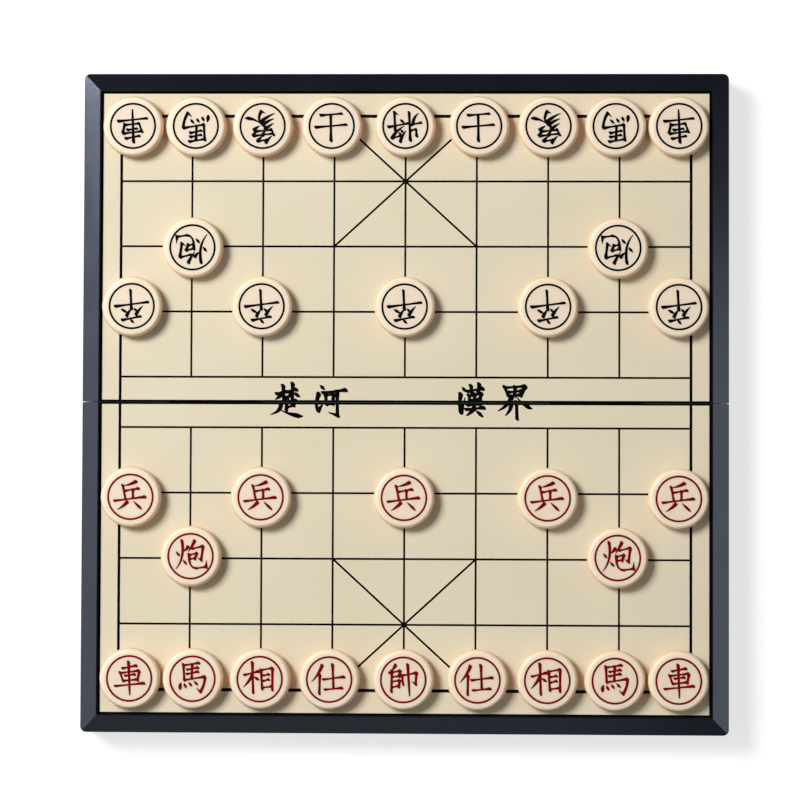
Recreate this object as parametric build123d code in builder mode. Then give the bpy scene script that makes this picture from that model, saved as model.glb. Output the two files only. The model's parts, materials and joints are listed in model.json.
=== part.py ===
"""Folding magnetic xiangqi case: two hinged trays with the board on their outer faces, and 32 men.

The case lies open and flat with the board up and the two mouths down on the table.
X runs along the fold, Y from the near player to the far player, and Z = 0 is the table.
All sizes are in millimetres.
"""

import os

from build123d import *

os.makedirs("parts", exist_ok=True)

# ---- Men ----
man_d = 30.0  # widest diameter, at the waist
man_h = 7.0
waist_z = 4.0  # height of the widest circle
foot_round = 1.5  # how far the lower edge rounds in to the foot
crown_round = 1.8  # how far the shoulder rounds in to the flat face
man_wall = 1.8  # plastic around the hollow
ring_inset = 2.2  # middle of the painted ring groove, from the edge of the flat face
ring_line = 1.0  # groove width
ring_depth = 0.25
cap_t = 1.2  # cap that closes the foot
cap_fit = 0.05  # gap around the cap
magnet_d = 12.0
magnet_t = 3.0
magnet_fit = 0.1  # gap between the magnet and the collar on the cap
collar_t = 1.2
collar_h = 2.0
man_seat = 0.02  # air under a standing man

# ---- Board grid, and where the men stand on it ----
file_gap = 5.3  # free space between two men on neighbouring points, along X
rank_gap = 2.4  # the same, along Y
river_w = 25.0  # between the two river banks
side_hang = 4.8  # how far a man on an edge point would reach over the rim, along X
end_hang = 2.7  # the same, along Y
side_free = 1.5  # free space between a man on an edge file and the rim
end_free = 3.0  # free space between a man on the back rank and the rim
advisor_off_x = 1.1  # how far men stand off their points, outward from the middle
horse_off_x = -2.2
cannon_off_x = -0.9
cannon_off_y = -1.1
soldier_off_y = 2.2

# ---- Case halves ----
rim_side = 8.6  # width of the sloping rim along the two short sides
rim_end = 9.0  # width of the sloping rim along the player's side
rim_drop = 2.6  # fall of the rim from its crest to the outer wall
crest_w = 0.6  # flat strip at the top of the rim
crest_above = 1.8  # crest above the playing surface
corner_r = 3.0  # outer corners, seen from above
shoulder_r = 0.5  # rounding where the rim meets the outer walls
wall = 2.2
floor_t = 2.0  # moulded plate under the steel sheet
hollow_h = 14.4  # depth of the storage space in one half
fold_gap = 0.4  # between the two halves when they lie flat
fold_lip = 0.7  # strip of the moulding that frames the board at the fold
mouth_gap = 0.2  # between the two mouths when the case is shut
sheet_t = 0.5  # steel sheet
film_t = 0.3  # printed film
panel_fit = 0.2  # gap around the sheet and the film
rib_count = 3  # stiffening ribs across the plate, with one more along its middle
rib_t = 1.4
rib_h = 1.5

# ---- Hinges ----
hinge_in = 65.0  # middle of each hinge from the short side
knuckle_count = 5
knuckle_l = 9.0
knuckle_gap = 0.3
knuckle_r = 2.2
knuckle_clear = 0.3  # gap between a knuckle and the notch in the other half
knuckle_lift = 0.2  # knuckles above the table
hinge_pin_r = 1.0
hinge_pin_inset = 0.5  # pin ends sunk into the outer knuckles
run_clear = 0.06  # radial clearance of a turning bore

# ---- Clasps, lying up in their recesses ----
clasp_in = 65.0  # middle of each clasp from the short side
clasp_w = 26.0
clasp_t = 2.0
clasp_up = 3.0  # pivot above the mouth
clasp_clear = 0.3  # gap around the clasp
barrel_r = 1.4
barrel_sink = 0.2  # barrel below the face of the wall
clasp_pin_r = 0.6
pin_end_wall = 1.0  # plastic beyond the end of the clasp pin
cheek_w = 4.0  # housing beside the clasp
housing_t = 1.6  # housing behind the clasp
wall_above = 2.1  # wall left above the recess
window_w = 12.0  # window that drops over the keeper
window_h = 2.4
window_in = 3.8  # middle of the window from the tip
keeper_clear = 0.3  # gap between the keeper and the window
keeper_reach = 1.2  # how far the keeper stands into the window
lip_l = 1.6  # finger lip at the tip
nail_w = 12.0  # fingernail notch above the tip
nail_h = 1.2

# ---- Tongues: feet when the case lies open, guides when it shuts ----
tongue_l = 16.0
tongue_t = 1.8
tongue_root = 6.0  # height of the root inside the wall
tongue_clear = 0.3  # gap to the other half's wall when shut
near_tongue_gap = 14.7  # from the outer end of the clasp housing to the near half's tongue
far_tongue_gap = 24.7  # from the inner end of the keeper housing to the far half's tongue
near_tongue_y = 60.0  # tongues on the short sides, from the fold
far_tongue_y = 30.0

# ---- Sizes that follow ----
man_r = man_d / 2
pitch_x = man_d + file_gap
pitch_y = man_d + rank_gap
inner_x = 4 * pitch_x + man_r - side_hang  # inner face of the rim
inner_y = river_w / 2 + 4 * pitch_y + man_r - end_hang
outer_x = inner_x + rim_side
outer_y = inner_y + rim_end
back_y = fold_gap / 2  # back wall's outer face, from the middle of the fold
hollow_x = outer_x - wall
hollow_y = outer_y - wall

mouth_z = knuckle_lift + knuckle_r + mouth_gap / 2
hinge_z = mouth_z - mouth_gap / 2
ceiling_z = mouth_z + hollow_h
plate_z = ceiling_z + floor_t
sheet_z = plate_z + sheet_t
board_z = sheet_z + film_t  # playing surface
crest_z = board_z + crest_above
shoulder_z = crest_z - rim_drop
man_z = board_z + man_seat

hinge_x = outer_x - hinge_in
knuckle_step = knuckle_l + knuckle_gap
hinge_l = knuckle_count * knuckle_step - knuckle_gap

clasp_x = outer_x - clasp_in
pivot_sink = barrel_r + barrel_sink  # clasp pivot below the face of the wall
pivot_y = outer_y - pivot_sink
pivot_z = mouth_z + clasp_up
recess_top = shoulder_z - wall_above
recess_depth = pivot_sink + barrel_r + clasp_clear
recess_half = clasp_w / 2 + clasp_clear
clasp_l = recess_top - clasp_clear - pivot_z  # from the pivot to the tip
window_r = clasp_l - window_in  # middle of the window from the pivot
housing_half = recess_half + cheek_w
clasp_pin_l = 2 * (housing_half - pin_end_wall)

# Where the clasp reaches on the far half, seen with the case open: heights mirror at the hinge
keeper_depth = pivot_sink + clasp_t / 2 + clasp_clear
keeper_top = 2 * hinge_z - pivot_z + clasp_l + clasp_clear
keeper_z = 2 * hinge_z - pivot_z + window_r

near_tongue_x = clasp_x + housing_half + near_tongue_gap + tongue_l / 2
far_tongue_x = clasp_x - housing_half - far_tongue_gap - tongue_l / 2


def block(x, y, z, mode=Mode.ADD):
    """A rectangular block between two limits along each axis."""
    with Locations(((x[0] + x[1]) / 2, (y[0] + y[1]) / 2, (z[0] + z[1]) / 2)):
        Box(abs(x[1] - x[0]), abs(y[1] - y[0]), abs(z[1] - z[0]), mode=mode)


def rod(x, y, z, radius, length, mode=Mode.ADD):
    """A round bar along X, with its middle at x."""
    with Locations((x, y, z)):
        Cylinder(radius, length, rotation=(0, 90, 0), mode=mode)


def around(middle, length):
    """The two limits of a length with the given middle."""
    return (middle - length / 2, middle + length / 2)


def knuckle_places(first):
    """Middles of every second knuckle of both hinges, counted from the first."""
    start = (knuckle_l - hinge_l) / 2
    order = range(first, knuckle_count, 2)
    return [hand * hinge_x + start + i * knuckle_step for hand in (-1, 1) for i in order]


def case_half(side, own_first, other_first, tongue_x, tongue_y):
    """One tray with its rim, board pocket, ribs, tongues and knuckles; side is -1 near, 1 far."""
    with BuildPart() as half:
        # Outer block with rounded corners on the player's side
        with BuildSketch(Plane.XY.offset(mouth_z)):
            with Locations((0, side * (back_y + outer_y) / 2)):
                Rectangle(2 * outer_x, outer_y - back_y)
            fillet(vertices().sort_by(Axis((0, 0, 0), (0, side, 0)))[-2:], corner_r)
        extrude(amount=crest_z - mouth_z)

        # Sloping rim with mitred corners, rounded where it meets the outer walls
        slopes = (
            Plane((-outer_x, 0, shoulder_z), z_dir=(-rim_drop, 0, rim_side - crest_w)),
            Plane((outer_x, 0, shoulder_z), z_dir=(rim_drop, 0, rim_side - crest_w)),
            Plane((0, side * outer_y, shoulder_z), z_dir=(0, side * rim_drop, rim_end - crest_w)),
        )
        for slope in slopes:
            split(bisect_by=slope, keep=Keep.BOTTOM)
        nearby = rim_drop / 4
        shoulder = half.edges().filter_by_position(Axis.Z, shoulder_z - nearby, shoulder_z + nearby)
        fillet(shoulder, shoulder_r)

        # Board pocket, with a lip at the fold that is level with the playing surface
        block((-inner_x, inner_x), (0, side * inner_y), (board_z, crest_z), Mode.SUBTRACT)
        pocket_y = (side * (back_y + fold_lip), side * inner_y)
        block((-inner_x, inner_x), pocket_y, (plate_z, board_z), Mode.SUBTRACT)

        # Storage hollow, with ribs under the plate
        hollow_span = (side * (back_y + wall), side * hollow_y)
        block((-hollow_x, hollow_x), hollow_span, (mouth_z, ceiling_z), Mode.SUBTRACT)
        rib_z = (ceiling_z - rib_h, ceiling_z)
        bay = 2 * hollow_x / (rib_count + 1)
        for i in range(rib_count):
            block(around((i + 1) * bay - hollow_x, rib_t), hollow_span, rib_z)
        block((-hollow_x, hollow_x), around(side * outer_y / 2, rib_t), rib_z)

        # Tongues, each a guide clearance off the line of the wall
        face_x = hollow_x - tongue_clear
        face_y = hollow_y - tongue_clear
        tongue_z = (0, mouth_z + tongue_root)
        root_z = (mouth_z, mouth_z + tongue_root)
        for hand in (-1, 1):
            along = around(hand * tongue_x, tongue_l)
            block(along, (side * (face_y - tongue_t), side * face_y), tongue_z)
            block(along, (side * (face_y - tongue_t), side * hollow_y), root_z)
            along = around(side * tongue_y, tongue_l)
            block((hand * (face_x - tongue_t), hand * face_x), along, tongue_z)
            block((hand * (face_x - tongue_t), hand * hollow_x), along, root_z)

        # Notches around the other half's knuckles, then this half's own knuckles
        notch_l = knuckle_l + 2 * knuckle_gap
        for x in knuckle_places(other_first):
            rod(x, 0, hinge_z, knuckle_r + knuckle_clear, notch_l, Mode.SUBTRACT)
        for x in knuckle_places(own_first):
            rod(x, 0, hinge_z, knuckle_r, knuckle_l)
    return half.part


def near_case():
    """Near half: grips the hinge pins and carries the clasps in two recesses."""
    body = case_half(-1, 0, 1, near_tongue_x, near_tongue_y)
    with BuildPart() as near:
        add(body)
        back = -(outer_y - recess_depth)
        for x in (-clasp_x, clasp_x):
            block(around(x, 2 * housing_half), (back + housing_t, -hollow_y), (mouth_z, ceiling_z))
            block(around(x, 2 * recess_half), (-outer_y, back), (mouth_z, recess_top), Mode.SUBTRACT)
            nail_z = (recess_top, recess_top + nail_h)
            block(around(x, nail_w), (-outer_y, back), nail_z, Mode.SUBTRACT)
            rod(x, -pivot_y, pivot_z, clasp_pin_r, clasp_pin_l, Mode.SUBTRACT)
        for x in (-hinge_x, hinge_x):
            rod(x, 0, hinge_z, hinge_pin_r, hinge_l, Mode.SUBTRACT)
    return near.part


def far_case():
    """Far half: turns on the hinge pins and has the keepers that the clasps drop over."""
    body = case_half(1, 1, 0, far_tongue_x, far_tongue_y)
    keeper_w = window_w - 2 * keeper_clear
    keeper_h = window_h - 2 * keeper_clear
    with BuildPart() as far:
        add(body)
        back = outer_y - keeper_depth
        for x in (-clasp_x, clasp_x):
            block(around(x, 2 * housing_half), (back - housing_t, hollow_y), (mouth_z, ceiling_z))
            block(around(x, 2 * recess_half), (back, outer_y), (mouth_z, keeper_top), Mode.SUBTRACT)
            reach = (back, back + clasp_clear + keeper_reach)
            block(around(x, keeper_w), reach, around(keeper_z, keeper_h))
        for x in (-hinge_x, hinge_x):
            rod(x, 0, hinge_z, hinge_pin_r + run_clear, hinge_l, Mode.SUBTRACT)
    return far.part


def panel(side, bottom, thickness):
    """A flat sheet that fills one half's board pocket."""
    fold_edge = back_y + fold_lip + panel_fit
    end_edge = inner_y - panel_fit
    with BuildPart() as sheet:
        with BuildSketch(Plane.XY.offset(bottom)):
            with Locations((0, side * (fold_edge + end_edge) / 2)):
                Rectangle(2 * (inner_x - panel_fit), end_edge - fold_edge)
        extrude(amount=thickness)
    return sheet.part


def hinge_pin(x):
    """Steel pin through all the knuckles of one hinge."""
    with BuildPart() as pin:
        rod(x, 0, hinge_z, hinge_pin_r, hinge_l - 2 * hinge_pin_inset)
    return pin.part


def clasp_pin(x):
    """Steel pin that one clasp turns on."""
    with BuildPart() as pin:
        rod(x, -pivot_y, pivot_z, clasp_pin_r, clasp_pin_l)
    return pin.part


def clasp(x):
    """Flip clasp: a plate on a barrel, with a window for the keeper and a finger lip at its tip."""
    tip_z = pivot_z + clasp_l
    plate_y = around(-pivot_y, clasp_t)
    with BuildPart() as body:
        block(around(x, clasp_w), plate_y, (pivot_z, tip_z))
        fillet(body.edges().filter_by(Axis.Y).group_by(Axis.Z)[-1], clasp_t / 2)
        block(around(x, clasp_w - 2 * clasp_t), (-pivot_y, -pivot_y + barrel_r), (tip_z - lip_l, tip_z))
        rod(x, -pivot_y, pivot_z, barrel_r, clasp_w)
        block(around(x, window_w), plate_y, around(pivot_z + window_r, window_h), Mode.SUBTRACT)
        rod(x, -pivot_y, pivot_z, clasp_pin_r + run_clear, clasp_w, Mode.SUBTRACT)
    return body.part


def man(x, y):
    """One man: a hollow disc with a ring groove, the cap that closes its foot, and its magnet."""
    foot = Plane((x, y, man_z))
    section = Plane((x, y, man_z), x_dir=(1, 0, 0), z_dir=(0, -1, 0))
    axis = Axis((x, y, man_z), (0, 0, 1))
    foot_r = man_r - foot_round
    crown_r = man_r - crown_round
    hollow_r = foot_r - man_wall
    with BuildPart() as disc:
        with BuildSketch(section):
            with BuildLine():
                Line((0, 0), (foot_r, 0))
                EllipticalCenterArc((foot_r, waist_z), foot_round, waist_z, -90, arc_size=90)
                EllipticalCenterArc((crown_r, waist_z), crown_round, man_h - waist_z, arc_size=90)
                Polyline((crown_r, man_h), (0, man_h), (0, 0))
            make_face()
        revolve(axis=axis)
        with BuildSketch(section):
            with Locations((crown_r - ring_inset, man_h - ring_depth / 2)):
                Rectangle(ring_line, ring_depth)
        revolve(axis=axis, mode=Mode.SUBTRACT)
        with BuildSketch(foot):
            Circle(hollow_r)
        extrude(amount=man_h - man_wall, mode=Mode.SUBTRACT)
    with BuildPart() as cap:
        with BuildSketch(foot):
            Circle(hollow_r - cap_fit)
        extrude(amount=cap_t)
        with BuildSketch(foot.offset(cap_t)):
            Circle(magnet_d / 2 + magnet_fit + collar_t)
            Circle(magnet_d / 2 + magnet_fit, mode=Mode.SUBTRACT)
        extrude(amount=collar_h)
    with BuildPart() as magnet:
        with BuildSketch(foot.offset(cap_t)):
            Circle(magnet_d / 2)
        extrude(amount=magnet_t)
    return Compound(children=[disc.part, cap.part, magnet.part])


def men_places():
    """Name and place of all 32 men, set out for the start of a game."""
    edge_x = inner_x - side_free - man_r
    rear_y = inner_y - end_free - man_r
    cannon_y = river_w / 2 + 2 * pitch_y + cannon_off_y
    soldier_y = river_w / 2 + pitch_y + soldier_off_y
    pairs = {
        "advisor": (pitch_x + advisor_off_x, rear_y),
        "elephant": (2 * pitch_x, rear_y),
        "horse": (3 * pitch_x + horse_off_x, rear_y),
        "chariot": (edge_x, rear_y),
        "cannon": (3 * pitch_x + cannon_off_x, cannon_y),
    }
    soldiers = (-edge_x, -2 * pitch_x, 0, 2 * pitch_x, edge_x)
    places = {}
    for colour, side in (("red", -1), ("black", 1)):
        places[f"{colour}_general"] = (0, side * rear_y)
        for kind, (x, y) in pairs.items():
            places[f"{colour}_{kind}_left"] = (-x, side * y)
            places[f"{colour}_{kind}_right"] = (x, side * y)
        for number, x in enumerate(soldiers, start=1):
            places[f"{colour}_soldier_{number}"] = (x, side * soldier_y)
    return places


def save(part, name):
    """Name a finished piece and write its file."""
    part.label = name
    export_step(part, f"parts/{name}.step")


save(near_case(), "near_case_shell")
save(far_case(), "far_case_shell")
for half, side in (("near", -1), ("far", 1)):
    save(panel(side, plate_z, sheet_t), f"{half}_steel_sheet")
    save(panel(side, sheet_z, film_t), f"{half}_board_film")
for hand, side in (("left", -1), ("right", 1)):
    save(hinge_pin(side * hinge_x), f"hinge_pin_{hand}")
    save(clasp(side * clasp_x), f"clasp_{hand}")
    save(clasp_pin(side * clasp_x), f"clasp_pin_{hand}")
for name, (x, y) in men_places().items():
    save(man(x, y), name)
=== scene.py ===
"""Looks of a folding magnetic xiangqi case: engraved and painted men, the printed board, and the finishes.

Shapes are worked out in millimetres and turned to metres when they become meshes.
"""

import json

import bmesh
import bpy
import numpy as np
from mathutils import Matrix, Vector
from mathutils.geometry import delaunay_2d_cdt

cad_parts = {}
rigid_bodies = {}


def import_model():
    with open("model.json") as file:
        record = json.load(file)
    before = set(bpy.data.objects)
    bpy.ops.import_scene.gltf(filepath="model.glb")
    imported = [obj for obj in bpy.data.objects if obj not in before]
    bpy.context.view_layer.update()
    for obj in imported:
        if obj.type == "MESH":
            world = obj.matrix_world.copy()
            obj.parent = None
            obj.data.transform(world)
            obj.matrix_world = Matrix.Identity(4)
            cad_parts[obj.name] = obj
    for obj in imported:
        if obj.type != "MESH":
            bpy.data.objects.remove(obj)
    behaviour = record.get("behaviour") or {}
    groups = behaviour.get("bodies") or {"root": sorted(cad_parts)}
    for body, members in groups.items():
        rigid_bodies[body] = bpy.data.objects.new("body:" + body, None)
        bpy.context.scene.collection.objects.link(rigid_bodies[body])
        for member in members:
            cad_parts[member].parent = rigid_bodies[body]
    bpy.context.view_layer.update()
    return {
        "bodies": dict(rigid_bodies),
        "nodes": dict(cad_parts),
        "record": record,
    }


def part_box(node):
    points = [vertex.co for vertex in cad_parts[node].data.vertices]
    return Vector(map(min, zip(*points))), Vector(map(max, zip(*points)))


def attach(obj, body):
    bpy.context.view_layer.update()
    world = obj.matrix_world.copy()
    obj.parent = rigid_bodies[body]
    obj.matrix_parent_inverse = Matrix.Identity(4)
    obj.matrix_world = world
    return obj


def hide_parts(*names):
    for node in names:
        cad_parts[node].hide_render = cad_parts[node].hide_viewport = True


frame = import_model()

MM = 0.001

# ---- Board, as in the part's source ----
BOARD_Z = 19.7  # playing surface
FILE = 35.3  # grid pitch along the fold
RANK = 32.4  # grid pitch across the fold
BANK = 12.5  # river bank, from the middle of the fold
FILM_X = 151.2  # edge of the printed film
FILM_Y = 154.2
LIP = (0.2, 0.9)  # moulded strip that frames the board at the fold
FILM_FROM = 1.1  # film's edge at the fold

# ---- Men, as in the part's source ----
MAN_R = 15.0
MAN_H = 7.0
MAN_Z = 19.72
WAIST_Z = 4.0
FOOT_ROUND = 1.5
CROWN_ROUND = 1.8
RING_R = 11.0
RING_W = 1.0
ENGRAVED = 0.25  # depth of the ring groove and of the characters
CAP_R = 11.7  # cap in the foot

# ---- Detail that only the looks have ----
PAINT_BELOW = 0.05  # painted surface below the face
PAINT_SUNK = 0.02  # paint into the floor of the groove, so that no faces coincide
SEAM_W = 0.15  # seam around the cap, drawn three times as wide so that it shows
SEAM_DEPTH = 0.4
GATE_R = 1.6  # dimple where the cap was filled in its mould
GATE_DEPTH = 0.3
INK_UP = 0.01  # printed ink above the film
INK_DOWN = 0.04  # and into it
AROUND = 96  # steps around a man
ARC_STEPS = 10
MAN_SIGN = 16.5  # height of a man's character square
RIVER_SIGN = 17.5  # height of a river character square
PAINTED_GLOW_DEPTH = 1.3  # from a man's face or foot to where the painted warm glow on its side is full
WELD = 1e-3 * MM
SAME_POINT = 1e-6  # corners of flat areas that are this close are one, in mm
SHARP = 35  # degrees between faces from which their edge is drawn sharp

# ---- Print on the board ----
GRID_LINE = 1.0  # width of the ranks, the inner files and the palaces
FILE_LINE = 1.4  # width of the two edge files
END_LINE = 1.6  # width of the two back ranks
SIDE_BORDER = 1.0  # width of the border along the short sides
PLAYER_BORDER = 0.9  # width of the border along the players' sides
RIVER_PLACES = (("chu", -58.3), ("he", -36.6), ("han", 33.1), ("jie", 54.3))  # middles along X

# Share of the pen's width at even steps along a stroke
PRESSURE = {
    "across": (0.82, 0.56, 0.50, 0.52, 0.64, 1.00),
    "down": (1.05, 0.80, 0.72, 0.72, 0.76, 0.86),
    "needle": (1.05, 0.84, 0.76, 0.74, 0.68, 0.45),
    "left": (1.00, 0.86, 0.74, 0.60, 0.42, 0.20),
    "right": (0.30, 0.50, 0.74, 1.02, 1.20, 0.24),
    "dot": (0.30, 0.62, 0.88, 1.05, 1.05, 0.72),
    "flick": (1.00, 0.86, 0.68, 0.50, 0.34, 0.18),
}
# The common characters of the game, stroke by stroke on a square of 100: kind, then two or three points
SIGNS = {
    "chariot": """across 30 80 71 88; down 23 67 32 42; across 24 66 79 73; down 80 71 75 44;
        across 38 58 66 62; across 33 43 74 47; across 8 27 94 36; needle 48 98 52 1""",
    "horse": """down 23 92 26 45; across 24 90 69 97; across 34 77 66 83; across 33 64 66 71;
        down 49 92 48 50; across 25 46 86 56; down 87 56 88 33 74 11; flick 74 11 62 23;
        dot 16 38 12 20; dot 26 36 30 25; dot 40 40 46 30; dot 55 43 64 33""",
    "minister": """across 4 62 47 73; down 28 99 31 9; left 29 62 18 42 2 26; dot 33 56 46 49;
        down 54 77 58 20; across 54 77 88 83; down 88 81 88 17; across 61 61 77 64;
        across 61 45 77 49; across 59 25 86 28""",
    "scholar": """left 29 92 20 66 -2 43; down 22 64 21 7; across 32 50 94 58; down 60 94 63 25;
        across 37 20 88 25""",
    "marshal": """left 27 94 22 84 15 76; down 16 76 15 14; across 8 71 41 77; down 40 76 38 59;
        across 18 59 37 61; across 16 45 40 48; down 39 48 37 28; across 16 28 37 32;
        down 46 64 50 36; across 46 63 90 71; down 89 71 87 37; flick 87 37 75 46; needle 63 95 69 3""",
    "cannon": """dot 7 63 16 52; left 43 78 37 70 30 64; left 24 96 34 44 6 11; dot 28 38 37 27;
        left 62 96 55 80 43 63; across 54 72 87 80; down 87 78 82 38; flick 82 38 70 46;
        across 47 54 69 59; down 68 58 63 41; across 49 42 62 43; down 46 55 44 14 68 14;
        across 66 14 96 18; flick 97 17 98 38""",
    "soldier_red": """left 67 96 50 86 30 83; down 27 84 35 45; across 34 68 74 75;
        down 57 71 58 47; across 2 38 94 50; left 41 35 30 22 12 12; dot 60 36 82 15""",
    "soldier_black": """dot 43 101 52 92; across 23 81 78 92; left 37 76 30 62 17 50;
        dot 33 67 41 59; left 65 80 60 68 50 57; dot 62 70 79 61; across 1 38 99 51; down 51 58 54 2""",
    "elephant": """left 40 100 34 90 22 80; across 35 91 64 96; left 65 96 60 88 50 80;
        down 17 76 24 60; across 18 73 77 80; down 78 79 71 66; left 50 78 46 70 41 62;
        across 24 62 70 66; left 42 60 32 50 17 42; down 38 55 74 38 54 6; flick 54 6 42 12;
        left 49 46 34 34 16 28; left 53 36 38 22 14 12; left 76 62 69 55 59 50;
        right 56 43 80 24 103 28""",
    "guard": """across 6 46 98 54; down 52 94 53 18; across 20 13 83 18""",
    "general": """down 16 80 18 60; across 18 60 34 63; down 35 93 39 9; across 3 40 35 47;
        left 27 42 26 24 11 12; left 65 97 60 80 48 64; across 66 80 90 87; left 89 86 80 66 54 50;
        dot 60 79 67 72; dot 55 70 62 64; across 40 42 100 53; down 80 64 83 10; flick 83 9 70 17;
        dot 52 42 63 33""",
    "chu": """across 20 74 46 80; down 39 96 41 56; left 38 76 28 64 17 58; dot 43 68 52 61;
        across 50 80 76 86; down 66 102 65 60; left 64 77 56 66 48 61; dot 68 77 83 68;
        across 20 51 76 54; flick 76 53 66 38; down 49 52 48 28; across 50 36 68 41;
        left 33 46 34 24 4 15; right 34 27 62 12 95 11""",
    "he": """dot 20 98 29 89; across 27 77 92 85; down 16 74 4 42 14 26; flick 14 26 28 46;
        across 34 70 58 73; down 35 70 38 44; down 58 73 55 46; across 38 44 55 46;
        down 68 80 69 12; flick 70 12 43 22""",
    "han": """dot 23 94 31 84; down 19 74 13 40 19 22; flick 20 22 31 64; across 38 82 81 90;
        down 48 97 50 76; down 71 102 68 78; across 42 69 76 76; down 42 70 46 54; down 77 76 73 58;
        across 44 57 74 60; across 38 43 72 46; across 34 31 84 36; down 58 74 57 36;
        left 57 34 48 22 35 13; dot 62 28 79 13""",
    "jie": """down 22 94 32 69; across 23 93 80 97; down 80 96 67 70; down 51 94 50 70;
        across 32 80 72 84; across 34 70 66 72; left 42 66 30 40 3 27; right 56 66 74 42 100 34;
        left 41 50 40 28 24 14; down 55 52 57 5""",
}
MAN_PEN = 10.2  # brush width on the square of 100
RIVER_PEN = 12.9
NIB_LONG = 1.25  # the brush is pressed longer from upper left to lower right
NIB_SHORT = 0.78
STROKE_STEPS = 9
TIP_STEPS = 5


# ---- Strokes and flat areas ----
def nib_reach(way):
    """How far the slanted oval nib reaches along each unit direction: M d over the root of d.M d."""
    even = (NIB_LONG**2 + NIB_SHORT**2) / 2
    slant = (NIB_SHORT**2 - NIB_LONG**2) / 2
    pressed = way @ np.array([[even, slant], [slant, even]])
    return pressed / np.sqrt((pressed * way).sum(1))[:, None]


def stroke_outline(kind, numbers, pen):
    """Outline of one stroke: a straight or parabolic middle line, with the nib's reach on both sides
    scaled by the pressure at each step, and the nib's own curve round both ends."""
    points = np.array(numbers, float).reshape(-1, 2)
    share = np.linspace(0, 1, STROKE_STEPS)[:, None]
    first, last = points[0], points[-1]
    bend = points[1] if len(points) == 3 else (first + last) / 2
    line = first * (1 - share) ** 2 + 2 * bend * share * (1 - share) + last * share**2
    slope = (bend - first) * (1 - share) + (last - bend) * share
    along = slope / np.linalg.norm(slope, axis=1)[:, None]
    aside = np.stack([-along[:, 1], along[:, 0]], 1)
    pressure = PRESSURE[kind]
    half = pen / 2 * np.interp(share[:, 0], np.linspace(0, 1, len(pressure)), pressure)[:, None]
    turn = np.linspace(0, np.pi, TIP_STEPS + 2)[1:-1, None]
    end_way = aside[-1:] * np.cos(turn) + along[-1:] * np.sin(turn)
    start_way = -aside[:1] * np.cos(turn) - along[:1] * np.sin(turn)
    return np.concatenate(
        [
            line + half * nib_reach(aside),
            line[-1] + half[-1] * nib_reach(end_way),
            (line + half * nib_reach(-aside))[::-1],
            line[0] + half[0] * nib_reach(start_way),
        ]
    )


def sign_outlines(name, pen, size, middle, turned=False):
    """Outlines of all strokes of a sign in mm about the middle of its square, or turned half round."""
    scale = size / 100 * (-1 if turned else 1)
    outlines = []
    for stroke in SIGNS[name].split(";"):
        kind, *numbers = stroke.split()
        outline = stroke_outline(kind, [float(n) for n in numbers], pen)
        outlines.append((outline - 50) * scale + np.array(middle))
    return outlines


def bar(start, end, width):
    """Outline of a straight line of some width between two points."""
    start, end = np.array(start, float), np.array(end, float)
    along = (end - start) / np.linalg.norm(end - start)
    aside = np.array([-along[1], along[0]]) * width / 2
    return np.array([start - aside, end - aside, end + aside, start + aside])


def rectangle(x, y):
    """Outline between two limits along X and Y."""
    return np.array([(x[0], y[0]), (x[1], y[0]), (x[1], y[1]), (x[0], y[1])], float)


def circle(radius, middle):
    """Outline of a circle, point k at the angle k times the full turn over the steps."""
    angle = np.arange(AROUND) * 2 * np.pi / AROUND
    return np.stack([np.cos(angle), np.sin(angle)], 1) * radius + np.array(middle)


def leftward(ring):
    """The ring with its area on its left, told by the sign of the sum of its corners' cross products."""
    return ring if np.cross(ring, np.roll(ring, -1, axis=0)).sum() > 0 else ring[::-1]


def covered_and_bare(outlines, within):
    """Triangles of the area within, shared out between those that any outline covers and the rest."""
    rings = [leftward(ring) for ring in (within, *outlines)]
    ends = np.cumsum([len(ring) for ring in rings])
    faces = [list(range(end - len(ring), end)) for ring, end in zip(rings, ends)]
    points = [Vector(p) for p in np.concatenate(rings)]
    found, _, triangles, _, _, origins = delaunay_2d_cdt(points, [], faces, 0, SAME_POINT, True)
    plane = np.array(found)
    triangles = np.array(triangles)
    a, b, c = (plane[triangles[:, i]] for i in range(3))
    backward = np.cross(b - a, c - a) < 0
    triangles[backward] = triangles[backward][:, ::-1]
    inside = np.array([0 in origin for origin in origins])
    inked = np.array([any(i > 0 for i in origin) for origin in origins])
    return plane, triangles[inside & inked], triangles[inside & ~inked]


def border(triangles):
    """Edges that only one triangle has, with the area on their left."""
    edges = np.concatenate([triangles[:, [0, 1]], triangles[:, [1, 2]], triangles[:, [2, 0]]])
    many = edges.max() + 1
    forward = edges[:, 0] * many + edges[:, 1]
    return edges[~np.isin(forward, edges[:, 1] * many + edges[:, 0])]


def slab(plane, triangles, low, high):
    """Closed solid over a flat area: the area at both heights, joined by walls along its border."""
    count = len(plane)
    points = np.concatenate([np.c_[plane, np.full(count, low)], np.c_[plane, np.full(count, high)]])
    edge = border(triangles)
    walls = np.c_[edge[:, 0], edge[:, 1], edge[:, 1] + count, edge[:, 0] + count]
    return points, triangles[:, ::-1].tolist() + (triangles + count).tolist() + walls.tolist()


def turned(profile, middle):
    """Surface turned about a vertical axis: a point of the profile at radius r goes round a circle of r."""
    profile = np.array(profile, float)
    rings = [circle(radius, middle) for radius in profile[:, 0]]
    points = np.concatenate([np.c_[ring, np.full(AROUND, z)] for ring, z in zip(rings, profile[:, 1])])
    step = np.arange(AROUND)
    after = (step + 1) % AROUND
    rows = np.arange(len(profile) - 1)[:, None] * AROUND
    quads = np.stack([rows + step, rows + AROUND + step, rows + AROUND + after, rows + after], 2)
    return points, quads.reshape(-1, 4).tolist()


def joined(*parts):
    """Several sets of points and faces as one."""
    points, faces = [], []
    for some_points, some_faces in parts:
        shift = sum(len(p) for p in points)
        points.append(some_points)
        faces += [[i + shift for i in face] for face in some_faces]
    return np.concatenate(points), faces


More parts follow.
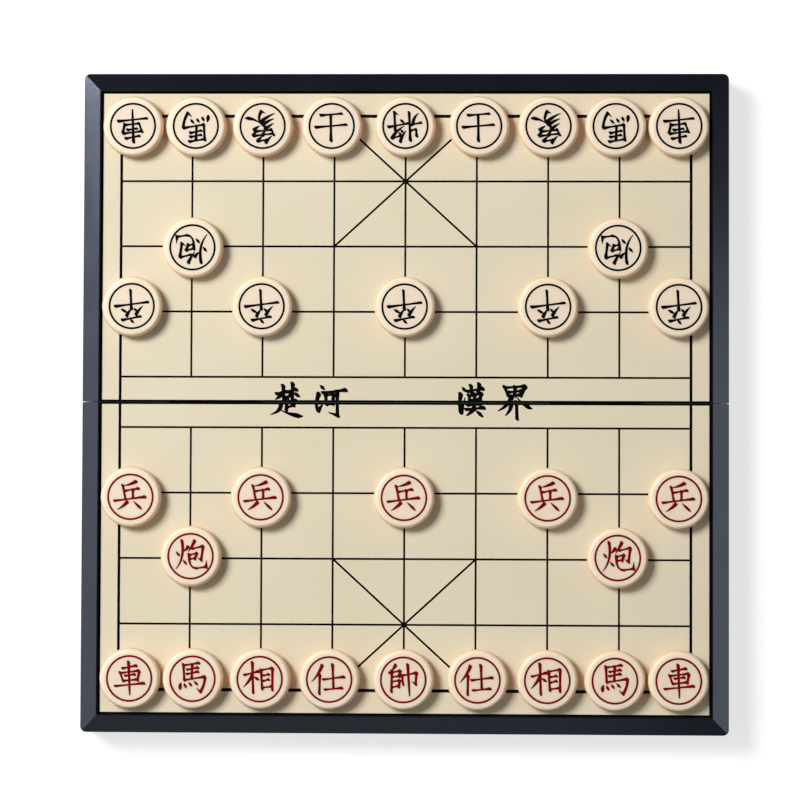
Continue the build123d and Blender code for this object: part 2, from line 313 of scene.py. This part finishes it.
def piece(name, shape, body, materials, smooth=True):
    """Make a mesh object from points in mm, weld its seams, and let it ride on a body."""
    points, faces = shape
    mesh = bpy.data.meshes.new(name)
    mesh.from_pydata(points * MM, [], faces)
    merged = bmesh.new()
    merged.from_mesh(mesh)
    bmesh.ops.remove_doubles(merged, verts=merged.verts, dist=WELD)
    merged.to_mesh(mesh)
    merged.free()
    mesh.polygons.foreach_set("use_smooth", np.full(len(mesh.polygons), smooth))
    if smooth:
        mesh.set_sharp_from_angle(angle=np.radians(SHARP))
    for material in materials:
        mesh.materials.append(material)
    thing = bpy.data.objects.new(name, mesh)
    bpy.context.scene.collection.objects.link(thing)
    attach(thing, body)
    return thing


# ---- Materials ----
def linear(code):
    """An sRGB hex colour as linear red, green, blue and alpha."""
    value = np.array([int(code[i : i + 2], 16) for i in (1, 3, 5)]) / 255
    value = np.where(value <= 0.04045, value / 12.92, ((value + 0.055) / 1.055) ** 2.4)
    return (*value.tolist(), 1.0)


def add(tree, kind, settings=None, **inputs):
    """Add a node with its settings. Each input is a value or another node's output, and its name's
    underscores stand for spaces; a name like _1 means the socket with that number."""
    made = tree.nodes.new("ShaderNode" + kind)
    for name, value in (settings or {}).items():
        setattr(made, name, value)
    for name, value in inputs.items():
        socket = made.inputs[int(name[1:]) if name[0] == "_" else name.replace("_", " ")]
        if isinstance(value, bpy.types.NodeSocket):
            tree.links.new(value, socket)
        else:
            socket.default_value = value
    return made


def start(name):
    """A new material's node tree, its shader and its Object coordinates."""
    material = bpy.data.materials.new(name)
    material.use_nodes = True
    tree = material.node_tree
    return material, tree, tree.nodes["Principled BSDF"], add(tree, "TexCoord").outputs["Object"]


def settle(shader, **values):
    """Constant values set on the shader's own sockets."""
    for name, value in values.items():
        shader.inputs[name.replace("_", " ")].default_value = value


def moulded_abs():
    """Injection-moulded ABS from a spark-eroded mould: a dark slate satin with a fine even grain that
    softens its reflections, slightly glossier in patches where the mould is worn."""
    material, tree, shader, place = start("moulded_abs_slate")
    # Grain of 0.5 mm, drawn coarser than the real 0.1 mm so that it shows
    grain = add(tree, "TexNoise", Vector=place, Scale=1 / (0.5 * MM), Detail=2.0)
    patch = add(tree, "TexNoise", Vector=place, Scale=1 / (28 * MM), Detail=3.0)
    tone = add(
        tree,
        "Mix",
        {"data_type": "RGBA"},
        _0=patch.outputs["Fac"],
        _6=linear("#0e1116"),
        _7=linear("#12161c"),
    )
    gloss = add(
        tree, "MapRange", Value=patch.outputs["Fac"], From_Min=0.3, From_Max=0.7, To_Min=0.16, To_Max=0.20
    )
    bump = add(tree, "Bump", Strength=0.25, Distance=0.05 * MM, Height=grain.outputs["Fac"])
    tree.links.new(tone.outputs[2], shader.inputs["Base Color"])
    tree.links.new(gloss.outputs["Result"], shader.inputs["Roughness"])
    tree.links.new(bump.outputs["Normal"], shader.inputs["Normal"])
    settle(shader, IOR=1.54, Specular_IOR_Level=0.95, Specular_Tint=linear("#d6e0fc"))
    return material


def printed_film():
    """Calendered PVC film with a matt lacquer: an even warm cream, faintly cloudy, with a soft
    orange-peel that breaks up reflections."""
    material, tree, shader, place = start("printed_pvc_film")
    cloud = add(tree, "TexNoise", Vector=place, Scale=1 / (45 * MM), Detail=2.0)
    speck = add(tree, "TexNoise", Vector=place, Scale=1 / (0.7 * MM), Detail=1.0)
    peel = add(tree, "TexNoise", Vector=place, Scale=1 / (1.4 * MM), Detail=1.0)
    blend = add(
        tree,
        "Math",
        {"operation": "MULTIPLY_ADD"},
        _0=speck.outputs["Fac"],
        _1=0.25,
        _2=cloud.outputs["Fac"],
    )
    tone = add(
        tree,
        "Mix",
        {"data_type": "RGBA"},
        _0=blend.outputs[0],
        _6=linear("#dccfb1"),
        _7=linear("#e3d8bd"),
    )
    bump = add(tree, "Bump", Strength=0.12, Distance=0.03 * MM, Height=peel.outputs["Fac"])
    gloss = add(tree, "MapRange", Value=speck.outputs["Fac"], To_Min=0.50, To_Max=0.62)
    tree.links.new(tone.outputs[2], shader.inputs["Base Color"])
    tree.links.new(gloss.outputs["Result"], shader.inputs["Roughness"])
    tree.links.new(bump.outputs["Normal"], shader.inputs["Normal"])
    settle(shader, IOR=1.50)
    return material


def ivory(name, low, high, rough, grain_mm, depth_mm):
    """Moulded melamine in an ivory tint: light enters it a little, which softens its shading. Its side is
    painted warmer than its face, a painted glow that stands in for light that passes through the plastic
    and bounces off the board. The same plastic is polished on the edge and frosted on the face."""
    material, tree, shader, place = start(name)
    cloud = add(tree, "TexNoise", Vector=place, Scale=1 / (9 * MM), Detail=2.0)
    grain = add(tree, "TexNoise", Vector=place, Scale=1 / (grain_mm * MM), Detail=2.0)
    blend = add(
        tree,
        "Math",
        {"operation": "MULTIPLY_ADD"},
        _0=grain.outputs["Fac"],
        _1=0.4,
        _2=cloud.outputs["Fac"],
    )
    face = add(tree, "Mix", {"data_type": "RGBA"}, _0=blend.outputs[0], _6=linear(low), _7=linear(high))
    # Height from the middle of the man: the painted glow sets in just inside the face and the foot
    height = add(tree, "SeparateXYZ", Vector=place).outputs["Z"]
    from_middle = add(tree, "Math", {"operation": "SUBTRACT"}, _0=height, _1=(MAN_Z + MAN_H / 2) * MM)
    away = add(tree, "Math", {"operation": "ABSOLUTE"}, _0=from_middle.outputs[0])
    half = MAN_H / 2
    inner = half - PAINTED_GLOW_DEPTH
    warm = add(tree, "MapRange", Value=away.outputs[0], From_Min=half * MM, From_Max=inner * MM)
    # Painted glow: an orange on the side that stands in for light passing through the plastic and off the
    # board
    side = linear("#fbd4b2")
    tone = add(tree, "Mix", {"data_type": "RGBA"}, _0=warm.outputs[0], _6=face.outputs[2], _7=side)
    gloss = add(tree, "MapRange", Value=grain.outputs["Fac"], To_Min=rough - 0.05, To_Max=rough + 0.05)
    bump = add(tree, "Bump", Strength=0.3, Distance=depth_mm * MM, Height=grain.outputs["Fac"])
    tree.links.new(tone.outputs[2], shader.inputs["Base Color"])
    tree.links.new(gloss.outputs["Result"], shader.inputs["Roughness"])
    tree.links.new(bump.outputs["Normal"], shader.inputs["Normal"])
    settle(shader, IOR=1.50, Subsurface_Weight=0.4, Subsurface_Scale=5.0 * MM)
    settle(shader, Subsurface_Radius=(1.0, 0.65, 0.45))
    return material


def brushed_paint(name, low, high, rough):
    """Air-dried enamel laid in a groove or printed on film: dense colour, a little thinner in places."""
    material, tree, shader, place = start(name)
    flow = add(tree, "TexNoise", Vector=place, Scale=1 / (1.8 * MM), Detail=2.0)
    tone = add(tree, "Mix", {"data_type": "RGBA"}, _0=flow.outputs["Fac"], _6=linear(low), _7=linear(high))
    gloss = add(tree, "MapRange", Value=flow.outputs["Fac"], To_Min=rough - 0.06, To_Max=rough + 0.06)
    bump = add(tree, "Bump", Strength=0.3, Distance=0.02 * MM, Height=flow.outputs["Fac"])
    tree.links.new(tone.outputs[2], shader.inputs["Base Color"])
    tree.links.new(gloss.outputs["Result"], shader.inputs["Roughness"])
    tree.links.new(bump.outputs["Normal"], shader.inputs["Normal"])
    settle(shader, Specular_IOR_Level=0.03)
    return material


def zinc_sheet():
    """Hot-dip zinc on steel sheet: a soft grey metal with a faint spangle, crystals 6 mm wide."""
    material, tree, shader, place = start("zinc_plated_sheet")
    crystal = add(tree, "TexVoronoi", Vector=place, Scale=1 / (6 * MM))
    shade = add(tree, "RGBToBW", Color=crystal.outputs["Color"])
    tone = add(
        tree, "Mix", {"data_type": "RGBA"}, _0=shade.outputs[0], _6=linear("#a6a9ad"), _7=linear("#c3c6c9")
    )
    gloss = add(tree, "MapRange", Value=shade.outputs[0], To_Min=0.32, To_Max=0.48)
    tree.links.new(tone.outputs[2], shader.inputs["Base Color"])
    tree.links.new(gloss.outputs["Result"], shader.inputs["Roughness"])
    settle(shader, Metallic=1.0)
    return material


def drawn_wire():
    """Drawn steel wire: bright metal with fine lines along its length, which is X on every pin."""
    material, tree, shader, place = start("drawn_steel_wire")
    stretch = add(tree, "Mapping", Vector=place, Scale=(0.02, 1.0, 1.0))
    lines = add(tree, "TexNoise", Vector=stretch.outputs[0], Scale=1 / (0.15 * MM), Detail=2.0)
    dull, bright = linear("#b4b6ba"), linear("#d0d2d4")
    tone = add(tree, "Mix", {"data_type": "RGBA"}, _0=lines.outputs["Fac"], _6=dull, _7=bright)
    gloss = add(tree, "MapRange", Value=lines.outputs["Fac"], To_Min=0.22, To_Max=0.36)
    bump = add(tree, "Bump", Strength=0.2, Distance=0.01 * MM, Height=lines.outputs["Fac"])
    tree.links.new(tone.outputs[2], shader.inputs["Base Color"])
    tree.links.new(gloss.outputs["Result"], shader.inputs["Roughness"])
    tree.links.new(bump.outputs["Normal"], shader.inputs["Normal"])
    settle(shader, Metallic=1.0)
    return material


case_plastic = moulded_abs()
film = printed_film()
polished = ivory("moulded_melamine_polished", "#ffe2c4", "#ffead0", 0.38, 1.2, 0.02)
frosted = ivory("moulded_melamine_frosted", "#f3dabf", "#f5e2ca", 0.48, 0.45, 0.03)
red_paint = brushed_paint("red_enamel", "#6e0202", "#880505", 0.50)
black_paint = brushed_paint("black_enamel", "#040302", "#0a0706", 0.45)
black_ink = brushed_paint("black_screen_ink", "#020203", "#060506", 0.55)
finishes = {
    "case_plastic": case_plastic,
    "board_film": film,
    "steel_sheet": zinc_sheet(),
    "pin_steel": drawn_wire(),
    "men_ivory": polished,
}
for subpart in frame["record"]["subparts"]:
    mesh = frame["nodes"][subpart["node"]].data
    mesh.materials.clear()
    mesh.materials.append(finishes[subpart["material_slot"]])


# ---- Men ----
def man_profile():
    """Half section of a man from the rim of its engraved field, over the crown and the waist, to the middle
    of its foot. The crown and the foot are quarter ellipses."""
    top = MAN_Z + MAN_H
    turn = np.linspace(0, np.pi / 2, ARC_STEPS + 1)[:, None]
    crown_r = MAN_R - CROWN_ROUND
    foot_r = MAN_R - FOOT_ROUND
    above = MAN_H - WAIST_Z
    crown = np.c_[crown_r + CROWN_ROUND * np.sin(turn), MAN_Z + WAIST_Z + above * np.cos(turn)]
    foot = np.c_[foot_r + FOOT_ROUND * np.cos(turn), MAN_Z + WAIST_Z * (1 - np.sin(turn))]
    inner, outer = RING_R - RING_W / 2, RING_R + RING_W / 2
    groove = [(inner, top), (inner, top - ENGRAVED), (outer, top - ENGRAVED), (outer, top)]
    under = [
        (CAP_R, MAN_Z),
        (CAP_R, MAN_Z + SEAM_DEPTH),
        (CAP_R - SEAM_W, MAN_Z + SEAM_DEPTH),
        (CAP_R - SEAM_W, MAN_Z),
        (GATE_R, MAN_Z),
        (GATE_R, MAN_Z + GATE_DEPTH),
    ]
    return np.concatenate([groove, crown, foot[1:], under])


def make_man(name, sign, half_turned, paint):
    """A man in place of its CAD node: a turned body whose face has the sign cut into it, and the paint
    that fills the sign and the ring."""
    low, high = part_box(name)
    middle = np.array([(low.x + high.x) / 2, (low.y + high.y) / 2]) / MM
    top = MAN_Z + MAN_H
    field = circle(RING_R - RING_W / 2, middle)
    outlines = sign_outlines(sign, MAN_PEN, MAN_SIGN, middle, half_turned)
    plane, cut, bare = covered_and_bare(outlines, field)

    count = len(plane)
    face = np.concatenate([np.c_[plane, np.full(count, top)], np.c_[plane, np.full(count, top - ENGRAVED)]])
    edge = border(cut)
    walls = np.c_[edge[:, 1] + count, edge[:, 0] + count, edge[:, 0], edge[:, 1]]
    engraved = (face, bare.tolist() + (cut + count).tolist() + walls.tolist())
    gate = circle(GATE_R, middle)
    gate_floor = (np.c_[gate, np.full(AROUND, MAN_Z + GATE_DEPTH)], [list(range(AROUND))[::-1]])
    body_shape = joined(engraved, turned(man_profile(), middle), gate_floor)
    man = piece(name + "_disc", body_shape, name + "_man", [polished, frosted])
    field_faces = np.zeros(len(man.data.polygons), int)
    field_faces[: len(engraved[1])] = 1
    man.data.polygons.foreach_set("material_index", field_faces)
    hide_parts(name)

    low_z, high_z = top - ENGRAVED - PAINT_SUNK, top - PAINT_BELOW
    inner, outer = RING_R - RING_W / 2, RING_R + RING_W / 2
    corners = [(inner, high_z), (outer, high_z), (outer, low_z), (inner, low_z), (inner, high_z)]
    paint_shape = joined(slab(plane, cut, low_z, high_z), turned(corners, middle))
    piece(name + "_paint", paint_shape, name + "_man", [paint])


red_signs = {"general": "marshal", "advisor": "scholar", "elephant": "minister", "soldier": "soldier_red"}
black_signs = {"advisor": "guard", "soldier": "soldier_black"}
for body in frame["bodies"]:
    if body.endswith("_man"):
        name = body[: -len("_man")]
        colour, kind = name.split("_")[:2]
        if colour == "red":
            make_man(name, red_signs.get(kind, kind), False, red_paint)
        else:
            make_man(name, black_signs.get(kind, kind), True, black_paint)


# ---- Printed board ----
def board_print(side):
    """Outlines of all that is printed on one half: the grid, the palace, the border and its half of the
    river's characters. Side is -1 near, 1 far."""
    edge_x = 4 * FILE
    end_y = BANK + 4 * RANK
    lines = []
    for k in range(-3, 4):
        lines.append(bar((k * FILE, side * BANK), (k * FILE, side * end_y), GRID_LINE))
    for k in (-4, 4):
        lines.append(bar((k * FILE, 0), (k * FILE, side * end_y), FILE_LINE))
    for rank in range(4):
        y = side * (BANK + rank * RANK)
        lines.append(bar((-edge_x, y), (edge_x, y), GRID_LINE))
    over = FILE_LINE / 2
    lines.append(bar((-edge_x - over, side * end_y), (edge_x + over, side * end_y), END_LINE))
    for hand in (-1, 1):
        palace = (end_y - 2 * RANK, end_y)
        lines.append(bar((hand * FILE, side * palace[0]), (-hand * FILE, side * palace[1]), GRID_LINE))
    for hand in (-1, 1):
        x = hand * (FILM_X - SIDE_BORDER / 2)
        lines.append(bar((x, 0), (x, side * FILM_Y), SIDE_BORDER))
    y = side * (FILM_Y - PLAYER_BORDER / 2)
    lines.append(bar((-FILM_X, y), (FILM_X, y), PLAYER_BORDER))
    for sign, x in RIVER_PLACES:
        lines += sign_outlines(sign, RIVER_PEN, RIVER_SIGN, (x, 0))
    return lines


for half, side in (("near", -1), ("far", 1)):
    limits = sorted((side * FILM_FROM, side * FILM_Y))
    plane, printed, _ = covered_and_bare(board_print(side), rectangle((-FILM_X, FILM_X), limits))
    lip = sorted((side * LIP[0], side * LIP[1]))
    strip = rectangle((-FILM_X, FILM_X), lip)
    lip_plane, lip_area, _ = covered_and_bare([strip], strip)
    shape = joined(
        slab(plane, printed, BOARD_Z - INK_DOWN, BOARD_Z + INK_UP),
        slab(lip_plane, lip_area, BOARD_Z - INK_DOWN, BOARD_Z + INK_UP),
    )
    piece(half + "_board_print", shape, half + "_half", [black_ink], smooth=False)


# ---- Floor, light and camera ----
def studio():
    """A plain white floor, a soft light high on the far left, and three weak fills."""
    floor_mesh = bpy.data.meshes.new("floor")
    edge = 20  # metres from the middle of the floor to its sides
    corners = [(-edge, -edge, 0), (edge, -edge, 0), (edge, edge, 0), (-edge, edge, 0)]
    floor_mesh.from_pydata(corners, [], [(0, 1, 2, 3)])
    floor = bpy.data.objects.new("floor", floor_mesh)
    bpy.context.scene.collection.objects.link(floor)
    material, tree, shader, place = start("white_paper")
    # The white paper glows for the camera and reflections only: partly within half a metre of the middle,
    # fully from 3 m on. The glow is taken away as painted shade where something within 40 mm covers it.
    path = add(tree, "LightPath")
    seen = add(
        tree,
        "Math",
        {"operation": "MAXIMUM"},
        _0=path.outputs["Is Camera Ray"],
        _1=path.outputs["Is Glossy Ray"],
    )
    away = add(tree, "VectorMath", {"operation": "LENGTH"}, Vector=place)
    reach = away.outputs["Value"]
    lit = add(tree, "MapRange", Value=reach, From_Min=0.5, From_Max=3.0, To_Min=0.7, To_Max=1.0)
    # Painted shade: the glow fades out under and beside things that cover the paper
    sky = add(tree, "AmbientOcclusion", Distance=40 * MM)
    bare = add(tree, "MapRange", Value=sky.outputs["AO"], From_Min=0.1, From_Max=0.45)
    glow = add(tree, "Math", {"operation": "MULTIPLY"}, _0=seen.outputs[0], _1=lit.outputs["Result"])
    lift = add(tree, "Math", {"operation": "MULTIPLY"}, _0=glow.outputs[0], _1=bare.outputs["Result"])
    settle(shader, Base_Color=linear("#a8a8a8"), Roughness=0.9, Emission_Color=(1, 1, 1, 1))
    tree.links.new(lift.outputs[0], shader.inputs["Emission Strength"])
    floor_mesh.materials.append(material)

    # Each lamp: the way it stands from the board in degrees, its lean from straight up, its distance,
    # its width and height, and its radiance, where a white card that filled the sky would have 1
    lamps = (
        ("soft_key", 147, 41, 2.3, (0.8, 0.8), 27.5),
        ("soft_left", 191, 45, 1.7, (1.0, 0.8), 0.95),
        ("soft_near", 256, 40, 1.7, (1.0, 0.8), 0.24),
        ("soft_right", -12, 44, 1.7, (0.9, 1.0), 1.1),
    )
    for name, way, lean, far, size, radiance in lamps:
        way, lean = np.radians((way, lean))
        stand = Vector((np.cos(way) * np.sin(lean), np.sin(way) * np.sin(lean), np.cos(lean))) * far
        lamp = bpy.data.lights.new(name, "AREA")
        lamp.shape = "RECTANGLE"
        lamp.size, lamp.size_y = size
        lamp.energy = radiance * np.pi * size[0] * size[1]
        thing = bpy.data.objects.new(name, lamp)
        bpy.context.scene.collection.objects.link(thing)
        thing.location = stand
        thing.rotation_euler = stand.to_track_quat("Z", "Y").to_euler()
        thing.visible_camera = False

    world = bpy.data.worlds.new("plain_world")
    world.use_nodes = True
    tree = world.node_tree
    seen = add(tree, "LightPath").outputs["Is Camera Ray"]
    strength = add(tree, "MapRange", Value=seen, To_Min=0.05, To_Max=1.0)
    tree.links.new(strength.outputs["Result"], tree.nodes["Background"].inputs["Strength"])
    settle(tree.nodes["Background"], Color=(1, 1, 1, 1))
    bpy.context.scene.world = world


def camera():
    """Camera almost straight above the board, 1.5 m up, with a long lens."""
    stand = (0.04127, -0.04932, 1.5166)
    look = Vector((-0.02911, 0.03377, -0.99901)).normalized()
    near_up = Vector((-0.00291, 0.99942, 0.03387))
    right = look.cross(near_up).normalized()
    up = right.cross(look)
    data = bpy.data.cameras.new("camera")
    data.lens = 136.35
    data.sensor_width = 36.0
    thing = bpy.data.objects.new("camera", data)
    bpy.context.scene.collection.objects.link(thing)
    turn = Matrix((right, up, -look)).transposed().to_4x4()
    thing.matrix_world = Matrix.Translation(stand) @ turn
    bpy.context.scene.camera = thing


studio()
camera()
bpy.context.scene.view_settings.view_transform = "Standard"
